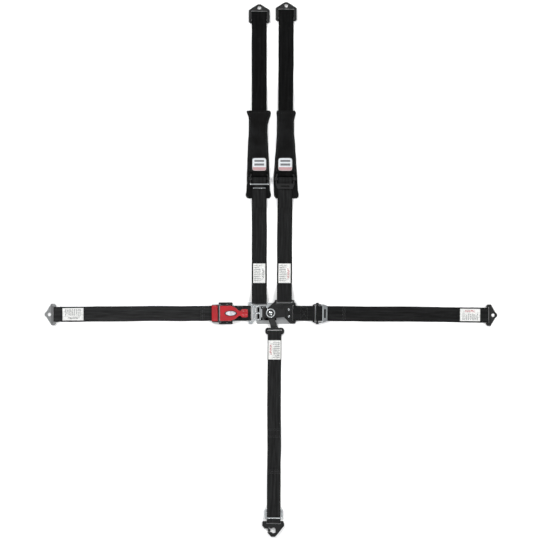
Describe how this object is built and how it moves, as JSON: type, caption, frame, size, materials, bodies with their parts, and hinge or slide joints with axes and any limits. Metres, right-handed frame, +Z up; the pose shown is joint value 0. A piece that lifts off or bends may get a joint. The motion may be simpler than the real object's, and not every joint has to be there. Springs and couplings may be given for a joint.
{
  "type": "racing harness",
  "caption": "Five-point racing harness lying flat: latch-and-link buckle, lap, shoulder and crotch belts, padded shoulder sleeves, sliding-bar and cam adjusters, bolt plates and a snap hook.",
  "frame": {"origin": "centre of the latch stud on the floor, at the underside of the latch's base plate", "axes": "+X along the lap belt towards its sliding-bar adjuster, +Y up the shoulder belts, +Z up off the floor"},
  "size_m": [1.538, 1.816, 0.022],
  "materials": {
    "webbing": "woven",
    "sewn_label": "printed cloth",
    "pad_fabric": "woven",
    "patch": "embroidered",
    "chrome": "polished",
    "steel": "zinc plated",
    "black_steel": "black oxide, satin",
    "red_grip": "moulded",
    "badge": "printed"
  },
  "bodies": {
    "latch": {"latch_base_plate": "steel", "latch_stud": "chrome", "lever_ears": "black_steel", "lever_hinge_pin": "chrome", "latch_end_frame": "black_steel", "end_frame_rivets": "chrome", "right_lap_short_strap": "webbing", "lap_adjuster_frame": "chrome", "right_lap_strap": "webbing", "right_lap_label": "sewn_label"},
    "latch_lever": {"latch_lever": "black_steel"},
    "left_lap": {"lap_link": "chrome", "left_lap_short_strap": "webbing", "cam_adjuster_frame": "black_steel", "cam_adjuster_turn_bar": "steel", "cam_lever_pin": "steel", "left_lap_strap": "webbing", "left_lap_label": "sewn_label", "cam_adjuster_end_cover": "red_grip"},
    "cam_lever": {"cam": "steel", "cam_lever_grip": "red_grip", "cam_lever_badge": "badge"},
    "left_anchor": {"left_lap_anchor_plate": "steel"},
    "right_anchor": {"right_lap_anchor_plate": "black_steel"},
    "lap_slide_bar": {"lap_adjuster_bar": "black_steel"},
    "left_shoulder": {"left_shoulder_tang": "chrome", "left_shoulder_lower_strap": "webbing", "left_shoulder_adjuster_frame": "chrome", "left_shoulder_upper_strap": "webbing", "left_shoulder_bracket": "black_steel", "left_shoulder_label": "sewn_label"},
    "left_slide_bar": {"left_shoulder_adjuster_bar": "black_steel"},
    "left_pad": {"left_pad_cushion": "pad_fabric", "left_pad_sleeve": "pad_fabric", "left_pad_patch": "patch"},
    "right_shoulder": {"right_shoulder_tang": "black_steel", "right_shoulder_lower_strap": "webbing", "right_shoulder_adjuster_frame": "black_steel", "right_shoulder_upper_strap": "webbing", "right_shoulder_bracket": "black_steel", "right_shoulder_label": "sewn_label"},
    "right_slide_bar": {"right_shoulder_adjuster_bar": "black_steel"},
    "right_pad": {"right_pad_cushion": "pad_fabric", "right_pad_sleeve": "pad_fabric", "right_pad_patch": "patch"},
    "crotch_belt": {"crotch_tang": "black_steel", "crotch_strap": "webbing", "crotch_label": "sewn_label", "crotch_slide": "chrome"},
    "snap_hook": {"snap_hook": "black_steel", "snap_hook_gate_pin": "chrome"},
    "hook_gate": {"snap_hook_gate": "black_steel"}
  },
  "joints": [
    {"name": "latch_lever_hinge", "type": "hinge", "parent": "latch", "child": "latch_lever", "pos_m": [-0.024, 0, 0.0158], "axis": [0, -1, 0], "range_deg": [0, 110]},
    {"name": "left_lap_swivel", "type": "hinge", "parent": "latch", "child": "left_lap", "pos_m": [0, 0, 0.004], "axis": [0, 0, 1], "range_deg": [-2, 4]},
    {"name": "cam_lever_hinge", "type": "hinge", "parent": "left_lap", "child": "cam_lever", "pos_m": [-0.172, -0.00111, 0.014], "axis": [0.0065, -1, 0], "range_deg": [0, 90]},
    {"name": "left_anchor_swing", "type": "hinge", "parent": "left_lap", "child": "left_anchor", "pos_m": [-0.73298, -0.00473, 0.0041], "axis": [-0.0065, 1, 0], "range_deg": [0, 100]},
    {"name": "right_anchor_swing", "type": "hinge", "parent": "latch", "child": "right_anchor", "pos_m": [0.73596, -0.00732, 0.0041], "axis": [-0.0099, -1, 0], "range_deg": [0, 100]},
    {"name": "lap_bar_slide", "type": "slide", "parent": "latch", "child": "lap_slide_bar", "axis": [1, -0.0099, 0], "range_m": [0, 0.003]},
    {"name": "left_shoulder_swivel", "type": "hinge", "parent": "latch", "child": "left_shoulder", "pos_m": [0, 0, 0.0078], "axis": [0, 0, 1], "range_deg": [0, 3]},
    {"name": "left_bar_slide", "type": "slide", "parent": "left_shoulder", "child": "left_slide_bar", "axis": [0, -1, 0], "range_m": [0, 0.003]},
    {"name": "left_pad_slide", "type": "slide", "parent": "left_shoulder", "child": "left_pad", "axis": [0, 1, 0], "range_m": [0, 0.04]},
    {"name": "right_shoulder_swivel", "type": "hinge", "parent": "latch", "child": "right_shoulder", "pos_m": [0, 0, 0.0103], "axis": [0, 0, 1], "range_deg": [-5, 0]},
    {"name": "right_bar_slide", "type": "slide", "parent": "right_shoulder", "child": "right_slide_bar", "axis": [-0.0065, -1, 0], "range_m": [0, 0.003]},
    {"name": "right_pad_slide", "type": "slide", "parent": "right_shoulder", "child": "right_pad", "axis": [0.0065, 1, 0], "range_m": [0, 0.04]},
    {"name": "crotch_swivel", "type": "hinge", "parent": "latch", "child": "crotch_belt", "pos_m": [0, 0, 0.0128], "axis": [0, 0, 1], "range_deg": [-8, 8]},
    {"name": "snap_hook_swing", "type": "hinge", "parent": "crotch_belt", "child": "snap_hook", "pos_m": [0.01028, -0.70999, 0.00395], "axis": [-1, 0.0052, 0], "range_deg": [0, 90]},
    {"name": "hook_gate_hinge", "type": "hinge", "parent": "snap_hook", "child": "hook_gate", "pos_m": [-0.00532, -0.72891, 0.004], "axis": [0, 0, 1], "range_deg": [0, 30], "stiffness_Nm_per_rad": 0.005, "springref_deg": -11.46}
  ]
}
